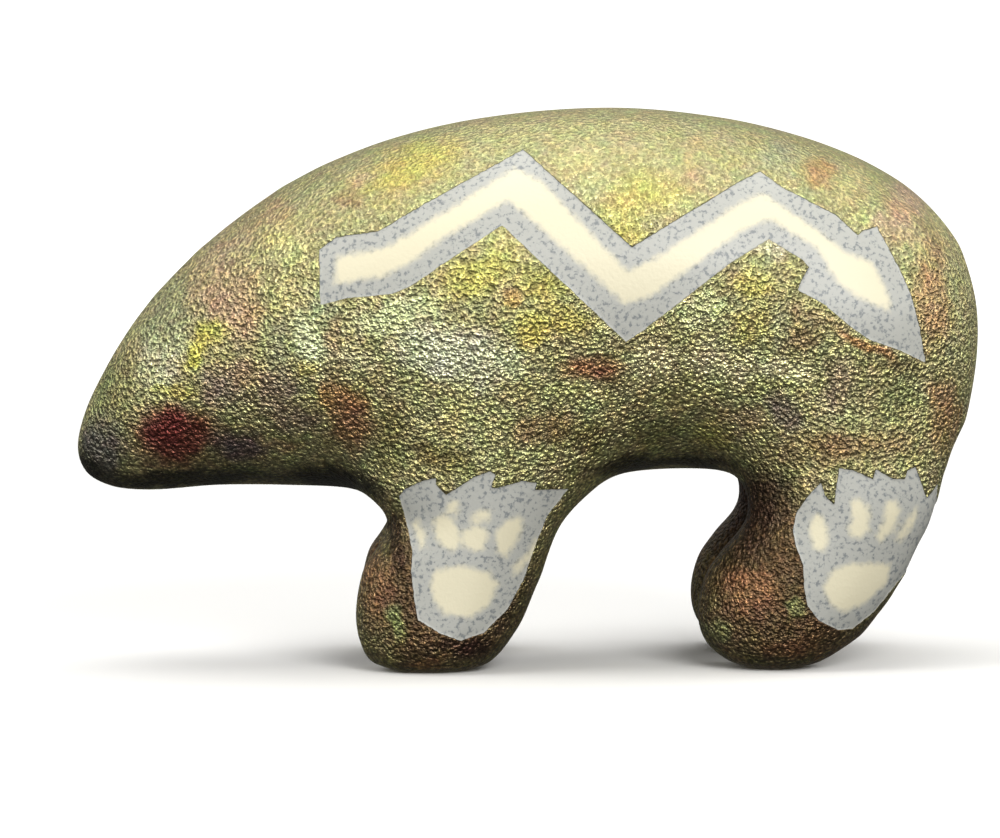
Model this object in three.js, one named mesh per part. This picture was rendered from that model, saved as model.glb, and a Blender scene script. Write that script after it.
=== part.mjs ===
// A raku pottery bear, cast in one piece: a tapering head carried low, a high arched back and four short legs.
// Millimetres, +Z up. The nose points towards -X, and the origin is on the ground below the middle of the body.
//
// The bear is first described as a field: a function of place that is negative inside the clay, zero on its
// skin and positive outside. A net of small meshes is then drawn over the places where the field is zero.
import * as THREE from "three";

// Driving dimensions.

// The body without its legs, from nose to rump. Each station gives the height of the back, the height of the
// throat or belly, and how wide the body is there for its height.
const BODY = [
  { x: -90, top: 42, bottom: 42, plump: 0.95 },
  { x: -85, top: 56.5, bottom: 35.8, plump: 0.92 },
  { x: -75, top: 71.8, bottom: 34.3, plump: 0.88 },
  { x: -60, top: 86.3, bottom: 35.4, plump: 0.88 },
  { x: -40, top: 98.9, bottom: 35, plump: 0.9 },
  { x: -15, top: 106.9, bottom: 34.4, plump: 0.93 },
  { x: 15, top: 109.9, bottom: 37.4, plump: 0.95 },
  { x: 40, top: 107.6, bottom: 38, plump: 0.98 },
  { x: 60, top: 102.2, bottom: 38.5, plump: 1.02 },
  { x: 75, top: 94.6, bottom: 41, plump: 1.06 },
  { x: 85, top: 84.5, bottom: 46, plump: 1.08 },
  { x: 90, top: 65.5, bottom: 65.5, plump: 1.1 },
];

// The legs from the ground up into the body. Each station gives where the front and the back edge of the leg
// stand, how far the leg is from the bear's middle plane, and how thick it is from side to side.
const FRONT_LEG = [
  { z: 0, front: -33, back: -5, aside: 17.5, thick: 24 },
  { z: 6, front: -34, back: -2.6, aside: 18, thick: 24 },
  { z: 14, front: -34, back: 1.2, aside: 18, thick: 24 },
  { z: 22, front: -31.6, back: 4.2, aside: 18, thick: 24 },
  { z: 29, front: -26.4, back: 7.2, aside: 18, thick: 24 },
  { z: 36, front: -30, back: 12.5, aside: 18, thick: 25 },
  { z: 48, front: -28, back: 20, aside: 17, thick: 26 },
  { z: 64, front: -18, back: 18, aside: 14, thick: 24 },
];
const HIND_LEG = [
  { z: 0, front: 36.5, back: 60.5, aside: 17.5, thick: 24 },
  { z: 6, front: 33.5, back: 65.7, aside: 18, thick: 24.5 },
  { z: 14, front: 33, back: 71.8, aside: 18.5, thick: 25 },
  { z: 22, front: 36.8, back: 76.2, aside: 18.5, thick: 25 },
  { z: 30, front: 43.6, back: 79.9, aside: 18.5, thick: 25 },
  { z: 36, front: 44, back: 81.4, aside: 18, thick: 26 },
  { z: 48, front: 41, back: 82.4, aside: 16.5, thick: 26 },
  { z: 64, front: 48, back: 77, aside: 13, thick: 24 },
];
const LEG_TOP = 64; // height at which the legs end, deep in the body
const LEG_FILLET = 12; // reach of the fillet that melts a leg into the body
const SOLE_ROUNDING = 9; // reach of the rounding between the sides of a leg and its sole
const SOLE_WEAR = 0.4; // whatever is nearer to the ground than this is pressed flat onto it

const CELL = 4.2; // side of the cells that the net is drawn through
const FREE_CELLS = 2; // cells of empty space kept round the bear
const SETTLING_STEPS = 6; // how often each knot of the net is moved towards the skin
const PROBE = 0.01; // distance over which the slope of a field is measured

const GLAZE = { color: 0x8a7c46, roughness: 0.42, metalness: 0.7 };

// A smooth curve through one value of the stations, read at any place along them. Its slope at a station is
// that of the line between the two neighbours, and it runs on straight beyond the ends.
function curveThrough(stations, along, valueOf) {
  const at = stations.map((station) => station[along]);
  const value = stations.map(valueOf);
  const last = at.length - 1;
  const slope = at.map((_, i) => {
    const before = Math.max(i - 1, 0);
    const after = Math.min(i + 1, last);
    return (value[after] - value[before]) / (at[after] - at[before]);
  });
  return (place) => {
    if (place <= at[0]) return value[0] + slope[0] * (place - at[0]);
    if (place >= at[last]) return value[last] + slope[last] * (place - at[last]);
    let i = 0;
    while (place > at[i + 1]) i += 1;
    const span = at[i + 1] - at[i];
    const t = (place - at[i]) / span;
    const straight = value[i] + (value[i + 1] - value[i]) * t * t * (3 - 2 * t);
    return straight + span * t * (1 - t) * (slope[i] * (1 - t) - slope[i + 1] * t);
  };
}

// The field of the body. Every upright section is an ellipse, and the square of its half height runs evenly
// to nothing at the nose and at the rump, which makes both ends round.
function bodyField() {
  const middle = curveThrough(BODY, "x", (s) => (s.top + s.bottom) / 2);
  const halfHeightSquared = curveThrough(BODY, "x", (s) => ((s.top - s.bottom) / 2) ** 2);
  const plump = curveThrough(BODY, "x", (s) => s.plump);
  return inMillimetres((x, y, z) => (z - middle(x)) ** 2 + (y / plump(x)) ** 2 - halfHeightSquared(x));
}

// The field of a left and a right leg. Every level section of a leg is an ellipse, and the sole is flat.
function legsField(stations) {
  const centre = curveThrough(stations, "z", (s) => (s.front + s.back) / 2);
  const halfLength = curveThrough(stations, "z", (s) => (s.back - s.front) / 2);
  const aside = curveThrough(stations, "z", (s) => s.aside);
  const halfThick = curveThrough(stations, "z", (s) => s.thick / 2);
  const pillar = inMillimetres((x, y, z) => {
    const long = (x - centre(z)) / halfLength(z);
    const wide = (Math.abs(y) - aside(z)) / halfThick(z);
    return (long * long + wide * wide - 1) * halfThick(z) ** 2;
  });
  return (x, y, z) => {
    const standing = cutRounded(pillar(x, y, z), -z, SOLE_ROUNDING);
    return Math.max(standing, z - LEG_TOP);
  };
}

function bearField() {
  const body = bodyField();
  const frontLegs = legsField(FRONT_LEG);
  const hindLegs = legsField(HIND_LEG);
  return (x, y, z) => {
    const withFrontLegs = melt(body(x, y, z), frontLegs(x, y, z), LEG_FILLET);
    return melt(withFrontLegs, hindLegs(x, y, z), LEG_FILLET);
  };
}

// Joins two fields with a fillet, as wet clay is smoothed over a join.
function melt(a, b, reach) {
  const overlap = Math.max(reach - Math.abs(a - b), 0);
  return Math.min(a, b) - (overlap * overlap) / (4 * reach);
}

// Keeps what two fields have in common, and rounds the edge between them.
function cutRounded(a, b, reach) {
  return -melt(-a, -b, reach);
}

// Turns a field of any steepness into one that tells the distance from the skin in millimetres.
function inMillimetres(field) {
  return (x, y, z) => field(x, y, z) / Math.max(slopeOf(field, x, y, z).length(), 1);
}

function slopeOf(field, x, y, z) {
  return new THREE.Vector3(
    field(x + PROBE, y, z) - field(x - PROBE, y, z),
    field(x, y + PROBE, z) - field(x, y - PROBE, z),
    field(x, y, z + PROBE) - field(x, y, z - PROBE),
  ).divideScalar(2 * PROBE);
}

// Moves a point along the slope of a field until it lies on the skin, and presses the soles flat.
function settle(point, field) {
  for (let step = 0; step < SETTLING_STEPS; step += 1) {
    const slope = slopeOf(field, point.x, point.y, point.z);
    const away = field(point.x, point.y, point.z) / slope.lengthSq();
    point.addScaledVector(slope, -away);
  }
  if (point.z < SOLE_WEAR) point.z = 0;
  return point;
}

// The field's values at the corners of a block of cells, with the means to find them again by number.
function sampleField(field, low, high) {
  const cells = low.map((from, axis) => Math.ceil((high[axis] - from) / CELL));
  const idOf = (i, j, k) => (i * (cells[1] + 1) + j) * (cells[2] + 1) + k;
  const placeOf = (i, j, k) =>
    new THREE.Vector3(low[0] + i * CELL, low[1] + j * CELL, low[2] + k * CELL);
  const value = new Map();
  for (let i = 0; i <= cells[0]; i += 1) {
    for (let j = 0; j <= cells[1]; j += 1) {
      for (let k = 0; k <= cells[2]; k += 1) {
        const { x, y, z } = placeOf(i, j, k);
        value.set(idOf(i, j, k), field(x, y, z));
      }
    }
  }
  return { cells, idOf, placeOf, value };
}

// The eight corners of a cell, and its twelve edges: the pairs of corners one step apart.
const CORNERS = [0, 1, 2, 3, 4, 5, 6, 7].map((n) => [n & 1, (n >> 1) & 1, (n >> 2) & 1]);
const EDGES = CORNERS.flatMap((from, n) => CORNERS.slice(n + 1).map((to) => [from, to])).filter(
  ([from, to]) => from.filter((step, axis) => step !== to[axis]).length === 1,
);

// The middle of the places where the skin crosses the edges of a cell, or nothing if the skin misses it.
function knotOfCell(samples, i, j, k) {
  const { idOf, placeOf, value } = samples;
  const knot = new THREE.Vector3();
  let crossings = 0;
  for (const edge of EDGES) {
    const [from, to] = edge.map(([a, b, c]) => [i + a, j + b, k + c]);
    const before = value.get(idOf(...from));
    const after = value.get(idOf(...to));
    if (before < 0 === after < 0) continue;
    knot.add(placeOf(...from).lerp(placeOf(...to), before / (before - after)));
    crossings += 1;
  }
  return crossings ? knot.divideScalar(crossings) : null;
}

// Draws the net: a knot on the skin in every cell that it passes through, and one mesh of four knots round
// every line between two cell corners that pierces the skin.
function netOver(field, low, high) {
  const samples = sampleField(field, low, high);
  const { cells, idOf, value } = samples;
  const knots = [];
  const knotIn = new Map();
  const faces = [];
  const addMesh = (around, forwards) => {
    const ring = forwards ? around : around.reverse();
    const [a, b, c, d] = ring.map((cell) => knotIn.get(idOf(...cell)));
    const shorter = knots[a].distanceTo(knots[c]) < knots[b].distanceTo(knots[d]);
    faces.push(...(shorter ? [a, b, c, a, c, d] : [a, b, d, b, c, d]));
  };
  for (let i = 0; i < cells[0]; i += 1) {
    for (let j = 0; j < cells[1]; j += 1) {
      for (let k = 0; k < cells[2]; k += 1) {
        const knot = knotOfCell(samples, i, j, k);
        if (!knot) continue;
        knotIn.set(idOf(i, j, k), knots.length);
        knots.push(settle(knot, field));
      }
    }
  }
  for (let i = 1; i < cells[0]; i += 1) {
    for (let j = 1; j < cells[1]; j += 1) {
      for (let k = 1; k < cells[2]; k += 1) {
        const inside = value.get(idOf(i, j, k)) < 0;
        const pierces = (id) => value.get(id) < 0 !== inside;
        if (pierces(idOf(i + 1, j, k)))
          addMesh([[i, j, k], [i, j - 1, k], [i, j - 1, k - 1], [i, j, k - 1]], inside);
        if (pierces(idOf(i, j + 1, k)))
          addMesh([[i, j, k], [i, j, k - 1], [i - 1, j, k - 1], [i - 1, j, k]], inside);
        if (pierces(idOf(i, j, k + 1)))
          addMesh([[i, j, k], [i - 1, j, k], [i - 1, j - 1, k], [i, j - 1, k]], inside);
      }
    }
  }
  return new THREE.BufferGeometry().setFromPoints(knots).setIndex(faces);
}

// The block of cells lies evenly on both sides of the bear's middle plane and of the ground.
function bearGeometry() {
  const free = FREE_CELLS * CELL;
  const halfWidth = Math.max(...BODY.map((s) => ((s.top - s.bottom) / 2) * s.plump));
  const sideways = Math.ceil((halfWidth + free) / CELL) * CELL;
  const height = Math.max(...BODY.map((s) => s.top));
  const low = [BODY[0].x - free, -sideways, -CELL / 2 - free];
  const high = [BODY.at(-1).x + free, sideways, height + free];
  return netOver(bearField(), low, high);
}

const bear = new THREE.Mesh(bearGeometry(), new THREE.MeshStandardMaterial(GLAZE));
bear.name = "bear";
bear.geometry.computeVertexNormals();

const figure = new THREE.Group();
figure.add(bear);

export default figure;
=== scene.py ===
"""Looks of a raku pottery bear: its glazed skin with bare painted marks, and the stage that shows it.

The skin starts as a copy of the solid bear, a cast and hand-finished pot. It is subdivided, smoothed, settled flat
on its soles, and pressed in a little where the clay was masked before glazing. Lengths in names that end in _MM and
inside the materials are millimetres. Everything else is in metres, in the frame of the solid.
"""

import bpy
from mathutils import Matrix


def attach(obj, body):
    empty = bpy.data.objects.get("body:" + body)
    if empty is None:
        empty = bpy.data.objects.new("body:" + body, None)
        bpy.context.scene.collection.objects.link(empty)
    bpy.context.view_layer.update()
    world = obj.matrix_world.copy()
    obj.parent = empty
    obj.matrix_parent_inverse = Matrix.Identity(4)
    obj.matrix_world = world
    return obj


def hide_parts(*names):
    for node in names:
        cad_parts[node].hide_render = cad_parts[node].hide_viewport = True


bl_info = {
    "name": "Raku pottery bear",
    "version": (1, 0, 0),
    "blender": (4, 5, 0),
    "location": "3D View > Sidebar > Raku bear",
    "description": "Glazed skin and painted marks of a standing raku pottery bear, with its stage",
    "category": "Object",
}

import math

import bpy
import numpy as np
from mathutils import Euler, Quaternion, Vector
from mathutils.bvhtree import BVHTree

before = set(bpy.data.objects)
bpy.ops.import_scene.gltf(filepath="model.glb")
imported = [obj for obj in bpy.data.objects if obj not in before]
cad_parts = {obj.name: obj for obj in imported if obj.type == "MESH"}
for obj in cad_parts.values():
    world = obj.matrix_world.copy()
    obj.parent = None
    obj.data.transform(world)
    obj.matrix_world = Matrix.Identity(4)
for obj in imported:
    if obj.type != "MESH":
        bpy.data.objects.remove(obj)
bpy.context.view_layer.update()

MM = 0.001
PHOTO_WIDTH = 1000
PHOTO_HEIGHT = 838


# Painted marks, as corners seen in the photograph, in its pixels

BAND_OUTLINE = [
    (320, 305), (319, 250), (336, 237), (378, 231), (385, 227), (424, 204), (523, 149),
    (632, 247), (740, 181), (760, 171), (782, 187), (835, 214), (858, 235), (864, 230),
    (877, 226), (899, 267), (911, 294), (920, 327), (926, 363), (899, 350), (870, 340),
    (851, 327), (824, 304), (798, 290), (801, 281), (809, 267), (803, 260), (769, 239),
    (732, 262), (640, 333), (626, 342), (502, 225), (440, 266), (411, 286), (391, 294),
    (347, 298),
]
BAND_CREAM = [
    (333, 284), (337, 256), (386, 247), (426, 223), (515, 168), (540, 180), (627, 271),
    (655, 258), (745, 200), (763, 193), (800, 218), (850, 254), (872, 262), (890, 297),
    (890, 312), (858, 296), (838, 283), (829, 268), (820, 250), (770, 218), (742, 230),
    (650, 297), (625, 304), (560, 245), (508, 199), (440, 240), (408, 264), (380, 277),
]
FRONT_PAW_OUTLINE = [
    (399, 496), (405, 489), (422, 481), (436, 478), (436, 484), (446, 495), (474, 477),
    (490, 471), (496, 475), (491, 488), (498, 488), (522, 481), (537, 483), (535, 490),
    (569, 489), (548, 515), (538, 540), (524, 579), (508, 609), (484, 633), (461, 641),
    (439, 633), (418, 620), (414, 599), (411, 571), (412, 550), (406, 522),
]
FRONT_PAW_CREAM = [
    [(431, 580), (436, 570), (463, 566), (490, 573), (498, 586), (489, 606), (470, 618), (445, 614), (433, 600)],
    [(434, 520), (443, 515), (452, 518), (460, 532), (460, 545), (452, 552), (440, 544), (434, 532)],
    [(448, 503), (456, 501), (460, 507), (455, 514), (448, 511)],
    [(463, 531), (472, 527), (486, 527), (488, 538), (483, 550), (470, 551), (463, 544)],
    [(470, 517), (480, 510), (492, 511), (488, 520), (474, 524)],
    [(496, 531), (506, 522), (518, 516), (524, 522), (517, 542), (506, 558), (498, 552)],
    [(413, 524), (418, 520), (424, 534), (425, 548), (419, 548)],
    [(536, 540), (541, 544), (530, 562), (514, 576), (512, 570), (526, 556)],
]
HIND_PAW_OUTLINE = [
    (821, 482), (807, 497), (796, 513), (793, 530), (796, 547), (803, 565), (804, 585),
    (807, 605), (819, 621), (838, 630), (853, 629), (874, 612), (911, 566), (936, 520),
    (938, 484), (927, 498), (916, 467), (908, 470), (905, 479), (893, 479), (876, 469),
    (873, 479), (853, 470), (839, 468), (834, 504), (825, 496),
]
HIND_PAW_CREAM = [
    [(824, 590), (832, 570), (848, 564), (891, 564), (888, 582), (868, 602), (845, 613), (832, 606)],
    [(809, 530), (814, 514), (824, 517), (828, 532), (826, 552), (814, 548)],
    [(847, 532), (852, 518), (850, 502), (860, 498), (870, 510), (869, 532), (858, 540)],
    [(877, 538), (884, 522), (886, 504), (896, 500), (901, 512), (892, 532), (882, 541)],
    [(897, 540), (906, 522), (917, 508), (919, 514), (910, 532), (901, 543)],
]


# Plain helpers

def linear(code):
    """Turns a colour written as on a screen, such as 8f8544, into the linear colour that a shader takes."""
    parts = [int(code[i:i + 2], 16) / 255 for i in (0, 2, 4)]
    return tuple(p / 12.92 if p <= 0.04045 else ((p + 0.055) / 1.055) ** 2.4 for p in parts) + (1.0,)


def make_active(piece):
    """Leaves this piece alone selected and active."""
    bpy.ops.object.select_all(action="DESELECT")
    piece.select_set(True)
    bpy.context.view_layer.objects.active = piece


def apply_modifier(piece, kind, **values):
    """Adds a modifier of this kind with these values, and applies it."""
    modifier = piece.modifiers.new(kind.title(), kind)
    for name, value in values.items():
        setattr(modifier, name, value)
    make_active(piece)
    bpy.ops.object.modifier_apply(modifier=modifier.name)


def smooth_step(value, low, high):
    """0 below low, 1 above high, and an even rise between them."""
    t = np.clip((value - low) / (high - low), 0, 1)
    return t * t * (3 - 2 * t)


def read_points(mesh, attribute="co"):
    """The places of a mesh's vertices, as an array."""
    values = np.empty(len(mesh.vertices) * 3)
    mesh.vertices.foreach_get(attribute, values)
    return values.reshape(-1, 3)


def write_points(mesh, points):
    """Puts a mesh's vertices at these places."""
    mesh.vertices.foreach_set("co", np.asarray(points, np.float32).ravel())
    mesh.update()


# Painted marks on the skin

class Mark:
    """One painted mark: its outline, its pale areas, and how it lies on the skin.

    around says how far the mark runs round the rear of a leg: each millimetre that the skin turns inwards from
    turn_mm counts as that share of a millimetre along the bear. Nothing is painted nearer to the middle than inner_mm.
    """

    def __init__(self, outline, pale_areas, around=0.0, turn_mm=27.0, inner_mm=0.0):
        self.outline = outline
        self.pale_areas = pale_areas
        self.around = around
        self.turn_mm = turn_mm
        self.inner_mm = inner_mm

    def flatten(self, points_mm):
        """Lays points of the skin out on the flat plane of the mark: along the bear, and up."""
        turned = np.maximum(0, self.turn_mm - np.abs(points_mm[:, 1]))
        return np.column_stack([points_mm[:, 0] + self.around * turned, points_mm[:, 2]])


MARKS = [
    Mark(BAND_OUTLINE, [BAND_CREAM]),
    Mark(FRONT_PAW_OUTLINE, FRONT_PAW_CREAM, inner_mm=15.0),
    Mark(HIND_PAW_OUTLINE, HIND_PAW_CREAM, around=0.5, inner_mm=15.0),
]
OUTLINE_STEP = 12
BEYOND_SKIN_Y = -0.017


def photo_points_on_skin(skin, corners):
    """Follows a closed outline of the photograph from the camera onto the skin, and returns its points in mm."""
    camera = bpy.context.scene.camera
    eye = camera.matrix_world.translation
    turn = camera.matrix_world.to_3x3()
    pixels_per_unit = camera.data.lens / camera.data.sensor_width * PHOTO_WIDTH
    points = []
    for start, end in zip(corners, corners[1:] + corners[:1]):
        steps = max(1, round(math.dist(start, end) / OUTLINE_STEP))
        for step in range(steps):
            column = start[0] + (end[0] - start[0]) * step / steps - PHOTO_WIDTH / 2
            row = start[1] + (end[1] - start[1]) * step / steps - PHOTO_HEIGHT / 2
            ray = (turn @ Vector((column, -row, -pixels_per_unit))).normalized()
            place = skin.ray_cast(eye, ray)[0]
            if place is None:
                place = eye + ray * ((BEYOND_SKIN_Y - eye.y) / ray.y)
            points.append(place / MM)
    return np.array(points)


def signed_distance(points, corners):
    """How far points lie inside a closed outline. It is negative outside."""
    nearest = np.full(len(points), np.inf)
    inside = np.zeros(len(points), bool)
    for start, end in zip(corners, np.roll(corners, -1, axis=0)):
        along = end - start
        away = points - start
        share = np.clip(away @ along / max(along @ along, 1e-12), 0, 1)
        nearest = np.minimum(nearest, np.hypot(*(away - share[:, None] * along).T))
        crosses = (start[1] > points[:, 1]) != (end[1] > points[:, 1])
        height = along[1] if along[1] else 1e-12
        inside ^= crosses & (points[:, 0] < start[0] + away[:, 1] * along[0] / height)
    return np.where(inside, nearest, -nearest)


def mark_distances(skin, points_mm):
    """For each point of the skin, how far inside the masked marks and inside their pale areas it lies."""
    masked = np.full(len(points_mm), -99.0)
    pale = np.full(len(points_mm), -99.0)
    for mark in MARKS:
        flat = mark.flatten(points_mm)
        outside = np.abs(points_mm[:, 1]) - mark.inner_mm
        outline = mark.flatten(photo_points_on_skin(skin, mark.outline))
        masked = np.maximum(masked, np.minimum(signed_distance(flat, outline), outside))
        for area in mark.pale_areas:
            outline = mark.flatten(photo_points_on_skin(skin, area))
            pale = np.maximum(pale, np.minimum(signed_distance(flat, outline), outside))
    return masked, pale


def store(mesh, name, values):
    """Keeps one number for each vertex under this name."""
    attribute = mesh.attributes.get(name) or mesh.attributes.new(name, "FLOAT", "POINT")
    attribute.data.foreach_set("value", values.astype(np.float32))


# The skin's shape

def copy_of_solid(node_name, piece_name):
    """A merged copy of a solid's mesh, in four-sided faces where its triangles pair up."""
    piece = bpy.data.objects.new(piece_name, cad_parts[node_name].data.copy())
    bpy.context.scene.collection.objects.link(piece)
    piece.data.materials.clear()
    make_active(piece)
    bpy.ops.mesh.customdata_custom_splitnormals_clear()
    bpy.ops.object.mode_set(mode="EDIT")
    bpy.ops.mesh.select_all(action="SELECT")
    bpy.ops.mesh.remove_doubles(threshold=0.001 * MM)
    bpy.ops.mesh.tris_convert_to_quads(face_threshold=math.pi, shape_threshold=math.pi)
    bpy.ops.object.mode_set(mode="OBJECT")
    return piece


def settle_soles(mesh, press):
    """Presses what is within this height of the ground flat onto it."""
    points = read_points(mesh)
    points[points[:, 2] < press, 2] = 0.0
    write_points(mesh, points)


def refine_near(piece, near_mm):
    """Splits the faces that lie within this distance of a mark's outline."""
    mesh = piece.data
    skin = BVHTree.FromObject(piece, bpy.context.evaluated_depsgraph_get())
    masked, _ = mark_distances(skin, read_points(mesh) / MM)
    close = np.abs(masked) < near_mm
    chosen = [bool(close[list(face.vertices)].any()) for face in mesh.polygons]
    make_active(piece)
    bpy.context.tool_settings.mesh_select_mode = (False, False, True)
    bpy.ops.object.mode_set(mode="EDIT")
    bpy.ops.mesh.select_all(action="DESELECT")
    bpy.ops.object.mode_set(mode="OBJECT")
    mesh.polygons.foreach_set("select", chosen)
    bpy.ops.object.mode_set(mode="EDIT")
    bpy.ops.mesh.subdivide(number_cuts=1)
    bpy.ops.object.mode_set(mode="OBJECT")


def press_in_marks(piece, depth):
    """Stores the marks' distances on the skin, and lowers the bare clay below the glaze round it."""
    mesh = piece.data
    skin = BVHTree.FromObject(piece, bpy.context.evaluated_depsgraph_get())
    points = read_points(mesh)
    masked, pale = mark_distances(skin, points / MM)
    store(mesh, "masked", masked)
    store(mesh, "pale", pale)
    normals = read_points(mesh, "normal")
    points -= normals * (depth * smooth_step(masked, -0.25, 0.35))[:, None]
    write_points(mesh, points)


# Nodes

def add_node(tree, kind, inputs=(), **settings):
    """Adds a node. inputs maps socket names or numbers to values, or to the sockets that feed them."""
    node = tree.nodes.new(kind)
    for name, value in settings.items():
        setattr(node, name, value)
    for key, value in dict(inputs).items():
        if isinstance(value, bpy.types.NodeSocket):
            tree.links.new(value, node.inputs[key])
        else:
            node.inputs[key].default_value = value
    return node


def calculate(tree, operation, first, second=0.0):
    """One step of arithmetic."""
    return add_node(tree, "ShaderNodeMath", {0: first, 1: second}, operation=operation).outputs[0]


def combine(tree, operation, first, second):
    """One step of arithmetic on vectors."""
    return add_node(tree, "ShaderNodeVectorMath", {0: first, 1: second}, operation=operation).outputs[0]


def rise(tree, value, low, high, start=0.0, end=1.0):
    """An even rise from start to end as value goes from low to high."""
    inputs = {"Value": value, "From Min": low, "From Max": high, "To Min": start, "To Max": end}
    return add_node(tree, "ShaderNodeMapRange", inputs, interpolation_type="SMOOTHSTEP").outputs[0]


def blend(tree, share, first, second, kind="MIX"):
    """Blends the second colour over the first by this share."""
    settings = {"data_type": "RGBA", "blend_type": kind, "clamp_factor": True, "clamp_result": True}
    return add_node(tree, "ShaderNodeMix", {0: share, 6: first, 7: second}, **settings).outputs[2]


def noise(tree, place, size_mm, detail=2.0, roughness=0.5, distortion=0.0):
    """Even noise whose blobs measure about this size."""
    inputs = {"Vector": place, "Scale": 1 / size_mm, "Detail": detail, "Roughness": roughness,
              "Distortion": distortion}
    return add_node(tree, "ShaderNodeTexNoise", inputs)


def new_group(name, inputs, outputs):
    """A node group with these sockets: (name, kind, default) going in, and (name, kind) coming out."""
    group = bpy.data.node_groups.new(name, "ShaderNodeTree")
    for socket_name, kind, default in inputs:
        socket = group.interface.new_socket(socket_name, in_out="INPUT", socket_type="NodeSocket" + kind)
        socket.default_value = default
    for socket_name, kind in outputs:
        group.interface.new_socket(socket_name, in_out="OUTPUT", socket_type="NodeSocket" + kind)
    return group, group.nodes.new("NodeGroupInput").outputs, group.nodes.new("NodeGroupOutput").inputs


def use_group(tree, group, inputs):
    """Places a group with these values, and returns its first output."""
    node = tree.nodes.new("ShaderNodeGroup")
    node.node_tree = group
    for key, value in inputs.items():
        if isinstance(value, bpy.types.NodeSocket):
            tree.links.new(value, node.inputs[key])
        else:
            node.inputs[key].default_value = value
    return node.outputs[0]


def glaze_patch_group():
    """A soft-edged patch of another colour in the glaze."""
    group, given, result = new_group(
        "Glaze patch",
        [("Colour", "Color", (0, 0, 0, 1)), ("Place", "Vector", (0, 0, 0)), ("Centre", "Vector", (0, 0, 0)),
         ("Reach", "Vector", (10, 10, 10)), ("Turn", "Float", 0.0), ("Patch colour", "Color", (1, 1, 1, 1)),
         ("Strength", "Float", 1.0)],
        [("Colour", "Color")],
    )
    away = combine(group, "SUBTRACT", given["Place"], given["Centre"])
    turned = add_node(group, "ShaderNodeVectorRotate", {"Vector": away, "Angle": given["Turn"]},
                      rotation_type="Y_AXIS").outputs[0]
    scaled = combine(group, "DIVIDE", turned, given["Reach"])
    far = add_node(group, "ShaderNodeVectorMath", {0: scaled}, operation="LENGTH").outputs["Value"]
    share = calculate(group, "MULTIPLY", rise(group, far, 0.35, 1.25, 1.0, 0.0), given["Strength"])
    group.links.new(blend(group, share, given["Colour"], given["Patch colour"]), result[0])
    return group


# The glaze's colours, and its patches: the place along the bear and the height, the half length and half height, all
# in mm, then how far the patch climbs towards the rump in degrees, its colour and its strength

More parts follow.
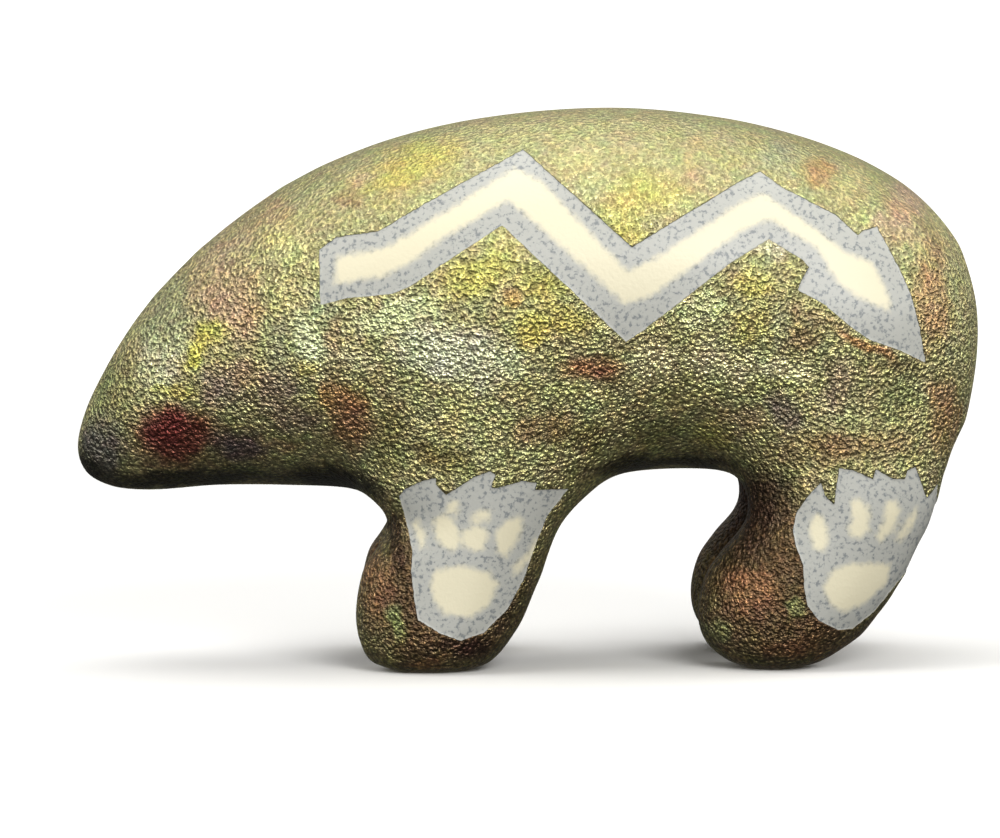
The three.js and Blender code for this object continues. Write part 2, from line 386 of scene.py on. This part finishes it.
GLAZE = {
    "khaki": "a7a274", "straw": "c2bc82", "gold": "b6ad5c", "bright gold": "cabf60", "apricot": "c8a868",
    "pale lime": "d3d9a6", "silver": "cfcfae", "bone": "d8cfa2", "sage": "9da07c", "moss": "868a5c",
    "rose": "b69a7e", "tan": "b09a74", "brown": "8c7454", "rust": "9c7252", "copper": "b4875c",
    "umber": "5e4834", "olive": "7a7048", "mauve": "94806f", "plum": "6a5c5c", "maroon": "7c423a",
    "wine": "6e3634", "smoke": "6c6660", "black": "2e2c24", "chocolate": "46332a",
}
# Some patches paint glints of the lustre, and some paint shade under the head and belly and in the legs' hollows.
GLAZE_PATCHES = [
    # head
    ("forehead", -60, 80, 12, 5, 48, "rose", 0.5),
    ("brow", -50, 89, 5, 4, 35, "tan", 0.7),
    ("upper snout", -71, 69, 5, 9, -30, "sage", 0.6),
    ("snout silver", -72, 61, 5, 6, 0, "silver", 0.45),
    ("snout moss", -81, 54, 4, 7, -20, "moss", 0.6),
    ("cheek rose", -57, 72, 7, 7, 0, "rose", 0.8),
    ("temple", -53, 74, 3, 6, 0, "tan", 0.7),
    ("streak", -65, 62, 2, 4, -40, "bright gold", 0.9),
    ("streak glow", -62, 66, 5, 2.5, 25, "gold", 0.8),
    ("cheek mauve", -59, 57, 6, 5, 0, "mauve", 0.8),
    ("cheek tan", -55, 61, 3, 3, 0, "rose", 0.7),
    ("cheek brown", -49, 56, 5, 6, 0, "mauve", 0.8),
    ("muzzle rim", -69, 55.5, 5, 1.6, 0, "gold", 0.6),
    ("muzzle", -68, 46, 11, 7, 0, "maroon", 0.95),
    ("muzzle wine", -71, 48, 6, 4, 20, "wine", 0.8),
    ("nose", -84, 43, 5.5, 8, 0, "smoke", 0.95),
    ("jaw", -56, 43.5, 6, 4.5, 0, "plum", 0.9),
    ("jaw tan", -47, 45, 6, 1.6, 0, "tan", 0.8),
    ("lower cheek", -45, 49.5, 6, 3, 0, "mauve", 0.7),
    # chin, nose tip and throat: painted shade under the head, deepening its dark glaze
    ("chin", -66, 37.5, 24, 2.6, 0, "black", 0.9),
    ("nose tip", -88, 39, 5, 5, 0, "black", 0.9),
    ("throat", -38, 37, 12, 3.6, -8, "black", 0.95),
    # neck and shoulder
    ("nape straw", -46, 84, 4, 5, 20, "straw", 0.7),
    ("nape low", -46, 74, 4, 4, 0, "straw", 0.6),
    # neck glint and neck yellow: painted glints of the lustre on the neck
    ("neck glint", -42, 65, 3.5, 6.5, 12, "pale lime", 0.9),
    ("neck yellow", -42, 60, 3, 2, 0, "bright gold", 0.5),
    ("neck sage", -48, 66, 2.5, 5, 0, "sage", 0.7),
    ("neck teal", -39, 71, 4, 4, 0, "sage", 0.9),
    ("neck dark", -37, 65, 2.5, 4, 0, "tan", 0.7),
    ("shoulder bone", -34, 62, 6, 2, 0, "bone", 0.6),
    ("shoulder copper", -36, 54, 5, 4, 0, "copper", 0.8),
    ("shoulder rust", -34, 49, 4.5, 7, 10, "rust", 0.8),
    ("shoulder olive", -26, 47, 4, 7, 0, "olive", 0.6),
    # back
    ("back gold", -22, 99, 12, 5, 22, "gold", 0.8),
    ("back apricot", -31, 97, 4, 2.5, 20, "rose", 0.6),
    ("back dark", -34, 92.5, 4.5, 1.6, 0, "brown", 0.6),
    ("valley gold", 23, 93, 9, 5, 20, "gold", 0.6),
    ("valley point", 21, 86.5, 4, 2.5, 0, "gold", 0.6),
    ("top tan", 33, 99, 2.5, 6, 0, "tan", 0.6),
    ("top straw", 12, 98, 5, 5, 0, "straw", 0.4),
    ("rump sage", 50, 100, 4.5, 4, 0, "sage", 0.8),
    ("rump copper", 58, 97.5, 4, 3, 0, "copper", 0.6),
    ("rump straw", 64, 95, 4, 5, -35, "straw", 0.5),
    ("rump rose", 74, 90, 5, 9, -40, "rose", 0.8),
    ("rump brown", 79, 74, 4, 14, 0, "rust", 0.6),
    # flank
    ("apex straw", -4, 86.5, 3.5, 3, 0, "straw", 0.6),
    ("flank gold", -8, 79, 9, 5, 25, "bright gold", 0.6),
    ("gold east", 3, 76, 5, 4, -40, "gold", 0.7),
    ("orange spot", -2, 73.5, 2.6, 2, 0, "apricot", 0.8),
    ("yellow spot", 1, 67.5, 5, 3.5, 0, "bright gold", 0.75),
    ("flank olive", 8, 69, 6, 3.5, -30, "gold", 0.7),
    # flank lime, flank silver, silver east and pale tongue: painted glints of the lustre on the mid-flank, over its
    # own pale lime and silver tones
    ("flank lime", -25, 70, 9, 4, 15, "pale lime", 0.85),
    ("flank silver", -17, 64, 10, 6, 0, "silver", 0.85),
    ("silver east", -9, 61, 7, 6, 0, "silver", 0.7),
    ("pale tongue", -13, 54, 4, 6.5, -15, "straw", 0.8),
    ("lime spot", -2, 61, 3, 3.5, 0, "pale lime", 0.8),
    ("flank brown", 13, 60, 7, 3.2, 5, "rust", 0.9),
    ("brown core", 15, 58.5, 3, 2.2, 0, "maroon", 0.4),
    ("pale step", 11, 54.5, 7, 2, 0, "straw", 0.6),
    ("low brown", 3, 48.5, 7, 4, 0, "brown", 0.85),
    ("low olive", 11, 46, 6, 4, 0, "olive", 0.8),
    ("low olive west", -16, 43, 8, 3, -20, "olive", 0.85),
    # glint west, glint, glint east and glint low: painted glints of the lustre on the mid-flank
    ("glint west", 25, 61, 7, 4, 0, "bone", 0.9),
    ("glint", 38, 61, 9, 5, -15, "bone", 0.85),
    ("glint east", 50, 59, 6, 2.6, -15, "bone", 0.8),
    ("glint low", 31, 54, 9, 4, 20, "straw", 0.7),
    ("apex green", 33, 71, 5, 4, 30, "pale lime", 0.5),
    # apex gold: a painted glint over the glaze's gold
    ("apex gold", 43, 75.5, 5, 3, 10, "bright gold", 0.55),
    ("apex moss", 44, 69, 5, 4, 0, "gold", 0.45),
    ("apex sage", 50, 68, 2.5, 5, 0, "sage", 0.7),
    ("apex pale", 48, 82.5, 5, 2.5, 0, "silver", 0.5),
    # hip and belly
    ("hip brown", 54, 65, 4, 3, 0, "brown", 0.8),
    ("tail tan", 57, 68.5, 6, 2, -20, "tan", 0.8),
    ("tail copper", 66, 63, 6, 1.4, -28, "copper", 0.9),
    ("tail brown", 72, 59, 5, 3, 0, "umber", 0.6),
    ("hip mauve", 61, 56, 4, 5, 0, "mauve", 0.7),
    ("hip moss", 71, 53, 5, 5.5, 0, "moss", 0.8),
    ("hip plum", 50, 50.5, 5, 4, -40, "plum", 0.75),
    ("hip tan", 43, 49, 4, 4, 0, "tan", 0.5),
    ("hip low", 62, 44, 16, 4, 0, "brown", 0.8),
    ("rump low", 81, 50, 4, 9, 0, "rust", 0.7),
    ("belly sage", 24, 47, 8, 4, 0, "moss", 0.6),
    ("belly gold", 36, 46, 4, 3, 0, "gold", 0.5),
    # belly shade: painted shade under the belly
    ("belly shade", 27, 40, 20, 2.4, 0, "black", 0.85),
    # legs
    ("front leg", -16, 15, 22, 21, 0, "umber", 0.95),
    ("front leg rust", -29, 17, 4, 8, 0, "rust", 0.5),
    # front leg shade: painted shade in the hollow of the front leg's ankle
    ("front leg shade", -25, 26, 2.5, 8, 0, "chocolate", 0.8),
    ("front leg fleck", -25, 10, 2.2, 4, 12, "moss", 0.9),
    ("front foot copper", -19, 2.5, 4, 1.5, 0, "copper", 0.5),
    ("front foot dark", -12, 5, 7, 2.5, 0, "chocolate", 0.8),
    ("hind leg", 50, 16, 26, 23, 0, "umber", 0.95),
    # hind saddle and hind knee: painted shade in the hollow between the hind leg and its foot
    ("hind saddle", 46, 33, 6, 10, -20, "chocolate", 0.9),
    ("hind knee", 41, 24, 6, 4, 30, "chocolate", 0.5),
    ("hind lobe", 43, 16, 6, 5, 0, "rust", 0.7),
    ("hind fleck", 37, 8, 3, 3, -40, "moss", 0.9),
    ("hind moss", 52, 13.5, 2, 2.5, 0, "moss", 0.8),
    ("hind foot", 51, 5, 8, 2, 0, "rust", 0.4),
]


# Settings

class BearSkinSettings(bpy.types.PropertyGroup):
    """Sizes of the skin."""

    levels: bpy.props.IntProperty(
        name="Levels", description="How often the solid's faces are halved", default=2, min=0, max=3)
    evenness: bpy.props.IntProperty(
        name="Evenness", description="How often the skin is smoothed", default=2, min=0, max=10)
    glaze_depth: bpy.props.FloatProperty(
        name="Glaze depth", description="How far the bare clay lies below the glaze",
        default=0.0002, unit="LENGTH", subtype="DISTANCE")
    sole_press: bpy.props.FloatProperty(
        name="Sole press", description="What is this near to the ground is flat on it",
        default=0.00006, unit="LENGTH", subtype="DISTANCE", precision=5)


class GlazeSettings(bpy.types.PropertyGroup):
    """Colours and finish of the glaze and of the bare clay."""

    ground: bpy.props.FloatVectorProperty(
        name="Ground", description="Colour of the glaze between its patches", size=4, min=0, max=1,
        default=linear(GLAZE["khaki"]), subtype="COLOR")
    bare: bpy.props.FloatVectorProperty(
        name="Bare clay", description="Pale core of the painted marks", size=4, min=0, max=1,
        default=linear("e0d8ba"), subtype="COLOR")
    smoke: bpy.props.FloatVectorProperty(
        name="Smoked clay", description="Grey border of the painted marks", size=4, min=0, max=1,
        default=linear("b2b2aa"), subtype="COLOR")
    lustre: bpy.props.FloatProperty(
        name="Lustre", description="How metallic the glaze is", default=0.85, min=0, max=1, subtype="FACTOR")
    wrinkle_size: bpy.props.FloatProperty(
        name="Wrinkle size", description="Distance from wrinkle to wrinkle",
        default=0.00075, unit="LENGTH", subtype="DISTANCE", precision=5)
    wrinkle_height: bpy.props.FloatProperty(
        name="Wrinkle height", description="How far the wrinkles stand out",
        default=0.001, unit="LENGTH", subtype="DISTANCE", precision=5)
    calm_top: bpy.props.FloatProperty(
        name="Calm top", description="How much of the wrinkles is left along the back",
        default=0.5, min=0, max=1, subtype="FACTOR")


class BearStageSettings(bpy.types.PropertyGroup):
    """Camera, floor and lights."""

    focal_length: bpy.props.FloatProperty(
        name="Focal length", description="Focal length in millimetres", default=180.6, unit="CAMERA")
    distance: bpy.props.FloatProperty(
        name="Distance", description="From the camera to the point that it looks at",
        default=1.0, unit="LENGTH", subtype="DISTANCE")
    elevation: bpy.props.FloatProperty(
        name="Elevation", description="How far the camera looks down", default=math.radians(4.0),
        subtype="ANGLE")
    roll: bpy.props.FloatProperty(
        name="Roll", description="How far the camera leans", default=math.radians(-0.5), subtype="ANGLE")
    aim: bpy.props.FloatVectorProperty(
        name="Aim", description="The point that the camera looks at",
        default=(-0.0051, 0.0, 0.048), unit="LENGTH", subtype="XYZ")
    floor_radius: bpy.props.FloatProperty(
        name="Floor radius", description="Flat part of the floor", default=3.0, unit="LENGTH",
        subtype="DISTANCE")
    floor_colour: bpy.props.FloatVectorProperty(
        name="Floor", description="Colour of the floor", size=4, min=0, max=1,
        default=linear("f2f1ee"), subtype="COLOR")


# Operators

class BEAR_OT_stage(bpy.types.Operator):
    """Sets up the camera, a pale floor that curves up at its edge, and soft lights"""

    bl_idname = "raku_bear.stage"
    bl_label = "Stage"

    def execute(self, context):
        settings = context.scene.raku_bear_stage
        add_camera(settings)
        add_floor(settings)
        for light in SOFT_LIGHTS:
            add_soft_light(*light)
        add_surrounding()
        context.scene.view_settings.view_transform = "Standard"
        return {"FINISHED"}


class BEAR_OT_skin(bpy.types.Operator):
    """Makes the bear's skin from the solid, with its painted marks pressed in"""

    bl_idname = "raku_bear.skin"
    bl_label = "Skin"

    def execute(self, context):
        settings = context.scene.raku_bear_skin
        skin = copy_of_solid("bear", "glazed_bear")
        apply_modifier(skin, "SUBSURF", levels=settings.levels, render_levels=settings.levels)
        apply_modifier(skin, "SMOOTH", factor=0.5, iterations=settings.evenness)
        settle_soles(skin.data, settings.sole_press)
        for near_mm in (1.6, 0.7):
            refine_near(skin, near_mm)
        press_in_marks(skin, settings.glaze_depth)
        make_active(skin)
        bpy.ops.object.shade_smooth()
        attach(skin, "root")
        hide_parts("bear")
        return {"FINISHED"}


class BEAR_OT_glaze(bpy.types.Operator):
    """Gives the skin its raku glaze and its smoked bare clay"""

    bl_idname = "raku_bear.glaze"
    bl_label = "Glaze"

    def execute(self, context):
        skin = bpy.data.objects["glazed_bear"]
        skin.data.materials.clear()
        skin.data.materials.append(raku_glaze(context.scene.raku_bear_glaze))
        return {"FINISHED"}


# The material

def raku_glaze(settings):
    """Mottled lustre glaze over the whole bear, with smoked and pale bare clay inside the painted marks."""
    material = bpy.data.materials.new("mottled raku glaze")
    material.use_nodes = True
    tree = material.node_tree
    surface = tree.nodes["Principled BSDF"]
    position = add_node(tree, "ShaderNodeTexCoord").outputs["Object"]
    place = add_node(tree, "ShaderNodeVectorMath", {0: position, "Scale": 1 / MM}, operation="SCALE").outputs[0]
    up = add_node(tree, "ShaderNodeSeparateXYZ", {0: place}).outputs[2]
    bare_share = rise(tree, distance_inside(tree, place, "masked", 0.35), -0.08, 0.08)
    wrinkles = noise(tree, place, settings.wrinkle_size / MM, detail=1.0).outputs["Fac"]
    # Along the back, calm weakens the wrinkles' relief and also their painted glints and painted dip shade.
    calm = rise(tree, up, 76, 100, 1.0, settings.calm_top)
    # The glazed colour carries painted glints on the wrinkles' crests and painted shade in their dips.
    glaze = painted_wrinkle_glints_and_shade(tree, wrinkles, calm, glaze_colour(tree, place, settings))
    bare = bare_colour(tree, place, settings)
    tree.links.new(blend(tree, bare_share, glaze, bare), surface.inputs["Base Color"])
    tree.links.new(rise(tree, bare_share, 0, 1, settings.lustre, 0.0), surface.inputs["Metallic"])
    tree.links.new(rise(tree, bare_share, 0, 1, 0.4, 0.45), surface.inputs["Roughness"])
    relief = calculate(tree, "MULTIPLY", calm, rise(tree, bare_share, 0, 1, 1.0, 0.05))
    bump = add_node(tree, "ShaderNodeBump", {"Strength": 1.0, "Distance": settings.wrinkle_height,
                                             "Height": calculate(tree, "MULTIPLY", wrinkles, relief)})
    tree.links.new(bump.outputs[0], surface.inputs["Normal"])
    return material


def painted_wrinkle_glints_and_shade(tree, wrinkles, calm, colour):
    """Painted glints, pale on the wrinkles' crests, and painted shade in the dips between them, both weaker along the
    back.
    """
    painted_dip_shade = calculate(tree, "MULTIPLY", rise(tree, wrinkles, 0.3, 0.55, 0.6, 0.0), calm)
    painted_glint = calculate(tree, "MULTIPLY", rise(tree, wrinkles, 0.48, 0.72, 0.0, 0.8), calm)
    dark = blend(tree, painted_dip_shade, colour, (0.3, 0.27, 0.2, 1), "MULTIPLY")
    return blend(tree, painted_glint, dark, (2.2, 2.15, 1.9, 1), "MULTIPLY")


def glaze_colour(tree, place, settings):
    """The glaze's ground colour and its patches, some of them painted glints and painted shade, with wandering edges,
    and a fine mottling over all of it.
    """
    wandered = place
    for size_mm, reach_mm in ((9.0, 7.0), (2.6, 2.6)):
        wander = combine(tree, "SUBTRACT", noise(tree, place, size_mm).outputs["Color"], (0.5, 0.5, 0.5))
        wandered = combine(tree, "ADD", wandered, combine(tree, "MULTIPLY", wander, (reach_mm,) * 3))
    colour = tuple(settings.ground)
    patch = glaze_patch_group()
    for _, along, up, half_length, half_height, tilt, name, strength in GLAZE_PATCHES:
        colour = use_group(tree, patch, {
            "Colour": colour, "Place": wandered, "Centre": (along, 0, up),
            "Reach": (half_length, 1000.0, half_height), "Turn": math.radians(tilt),
            "Patch colour": linear(GLAZE[name]), "Strength": strength})
    for size_mm, strength in ((5.0, 0.14), (1.6, 0.12)):
        tint = noise(tree, place, size_mm, detail=1.0).outputs["Color"]
        colour = blend(tree, strength, colour, tint, "OVERLAY")
    return colour


def distance_inside(tree, place, name, waver_mm):
    """The stored distance inside a mark, in mm, with a hand-painted waver."""
    stored = add_node(tree, "ShaderNodeAttribute", attribute_name=name).outputs["Fac"]
    waver = calculate(tree, "SUBTRACT", noise(tree, place, 1.3).outputs["Fac"], 0.5)
    return calculate(tree, "ADD", stored, calculate(tree, "MULTIPLY", waver, waver_mm))


def bare_colour(tree, place, settings):
    """Cream core and speckled smoky border of the bare clay."""
    pale = distance_inside(tree, place, "pale", 1.6)
    specks = rise(tree, noise(tree, place, 0.9, detail=3.0, roughness=0.6).outputs["Fac"], 0.5, 0.66)
    smoke = blend(tree, calculate(tree, "MULTIPLY", specks, 0.7), tuple(settings.smoke), linear("5f676d"))
    return blend(tree, rise(tree, pale, -0.9, 0.9), smoke, tuple(settings.bare))


# The stage

LIT_POINT = (0.0, 0.0, 0.06)
SOFT_LIGHTS = [
    ("overhead", (0.0, 0.15, 1.3), (1.2, 1.2), 9.0),
    ("front", (0.0, -1.1, -0.08), (1.1, 0.6), 2.0),
    ("key", (0.3, -0.81, 0.46), (0.45, 0.45), 7.0),
    ("right rim", (1.1, 0.35, 0.6), (0.7, 0.7), 5.0),
    ("left fill", (-0.95, -0.25, 0.6), (0.7, 0.7), 5.0),
]
COVE_RADIUS = 1.5
COVE_STEPS = 10
COVE_SIDES = 96


def add_camera(settings):
    """The photograph's camera: nearly level with the bear, looking at its left side."""
    look = Euler((math.pi / 2 - settings.elevation, 0, 0)).to_quaternion()
    look = look @ Quaternion((0, 0, 1), settings.roll)
    place = Vector(settings.aim) + look @ Vector((0, 0, settings.distance))
    bpy.ops.object.camera_add(location=place, rotation=look.to_euler())
    camera = bpy.context.active_object
    camera.data.lens = settings.focal_length
    camera.data.sensor_width = 36.0
    bpy.context.scene.camera = camera
    bpy.context.view_layer.update()


def add_floor(settings):
    """A round pale floor whose edge curves up into a wall, so that no horizon shows."""
    bpy.ops.object.select_all(action="DESELECT")
    bpy.ops.mesh.primitive_circle_add(vertices=COVE_SIDES, radius=settings.floor_radius, fill_type="NGON")
    floor = bpy.context.active_object
    floor.name = "floor"
    bpy.context.tool_settings.mesh_select_mode = (False, True, False)
    bpy.ops.object.mode_set(mode="EDIT")
    bpy.ops.mesh.select_all(action="SELECT")
    bpy.ops.mesh.region_to_loop()
    radius, height = settings.floor_radius, 0.0
    for step in range(1, COVE_STEPS + 1):
        angle = math.pi / 2 * step / COVE_STEPS
        new_radius = settings.floor_radius + COVE_RADIUS * math.sin(angle)
        new_height = COVE_RADIUS * (1 - math.cos(angle))
        bpy.ops.mesh.extrude_edges_move(TRANSFORM_OT_translate={"value": (0, 0, new_height - height)})
        grow = new_radius / radius
        bpy.ops.transform.resize(value=(grow, grow, 1), center_override=(0, 0, new_height))
        radius, height = new_radius, new_height
    bpy.ops.object.mode_set(mode="OBJECT")
    bpy.ops.object.shade_smooth()
    material = bpy.data.materials.new("floor")
    material.use_nodes = True
    tree = material.node_tree
    surface = tree.nodes["Principled BSDF"]
    surface.inputs["Base Color"].default_value = tuple(settings.floor_colour)
    surface.inputs["Roughness"].default_value = 0.9
    place = add_node(tree, "ShaderNodeTexCoord").outputs["Object"]
    far = add_node(tree, "ShaderNodeVectorMath", {0: place}, operation="LENGTH").outputs["Value"]
    surface.inputs["Emission Color"].default_value = tuple(settings.floor_colour)
    tree.links.new(rise(tree, far, 0.3, 1.6), surface.inputs["Emission Strength"])
    floor.data.materials.append(material)
    floor.visible_diffuse = False
    floor.visible_glossy = False
    floor.visible_shadow = False


def add_soft_light(name, place, size, energy):
    """A rectangular soft light that faces the bear's middle."""
    turn = (Vector(LIT_POINT) - Vector(place)).to_track_quat("-Z", "Y").to_euler()
    bpy.ops.object.light_add(type="AREA", location=place, rotation=turn)
    light = bpy.context.active_object
    light.name = name
    light.data.shape = "RECTANGLE"
    light.data.size, light.data.size_y = size
    light.data.energy = energy


def add_surrounding():
    """A dim even light all round, brighter from above than from below."""
    world = bpy.data.worlds.new("surrounding")
    world.use_nodes = True
    tree = world.node_tree
    direction = add_node(tree, "ShaderNodeTexCoord").outputs["Generated"]
    up = add_node(tree, "ShaderNodeSeparateXYZ", {0: direction}).outputs[2]
    background = tree.nodes["Background"]
    background.inputs["Color"].default_value = (1, 1, 1, 1)
    tree.links.new(rise(tree, up, -0.2, 0.8, 0.08, 0.5), background.inputs["Strength"])
    bpy.context.scene.world = world


class BEAR_PT_panel(bpy.types.Panel):
    """The bear's steps, in the sidebar of the 3D view"""

    bl_idname = "BEAR_PT_panel"
    bl_label = "Raku bear"
    bl_space_type = "VIEW_3D"
    bl_region_type = "UI"
    bl_category = "Raku bear"

    def draw(self, context):
        for name, step in STEPS:
            self.layout.operator(step)
            settings = getattr(context.scene, name)
            for key in settings.__annotations__:
                self.layout.prop(settings, key)


STEPS = [
    ("raku_bear_stage", "raku_bear.stage"),
    ("raku_bear_skin", "raku_bear.skin"),
    ("raku_bear_glaze", "raku_bear.glaze"),
]
SETTINGS = {
    "raku_bear_stage": BearStageSettings,
    "raku_bear_skin": BearSkinSettings,
    "raku_bear_glaze": GlazeSettings,
}
CLASSES = [*SETTINGS.values(), BEAR_OT_stage, BEAR_OT_skin, BEAR_OT_glaze, BEAR_PT_panel]


def register():
    for entry in CLASSES:
        bpy.utils.register_class(entry)
    for name, kind in SETTINGS.items():
        setattr(bpy.types.Scene, name, bpy.props.PointerProperty(type=kind))


def unregister():
    for name in SETTINGS:
        delattr(bpy.types.Scene, name)
    for entry in reversed(CLASSES):
        bpy.utils.unregister_class(entry)


def main():
    """Makes the whole scene."""
    register()
    bpy.ops.raku_bear.stage()
    bpy.ops.raku_bear.skin()
    bpy.ops.raku_bear.glaze()


if __name__ == "__main__":
    main()
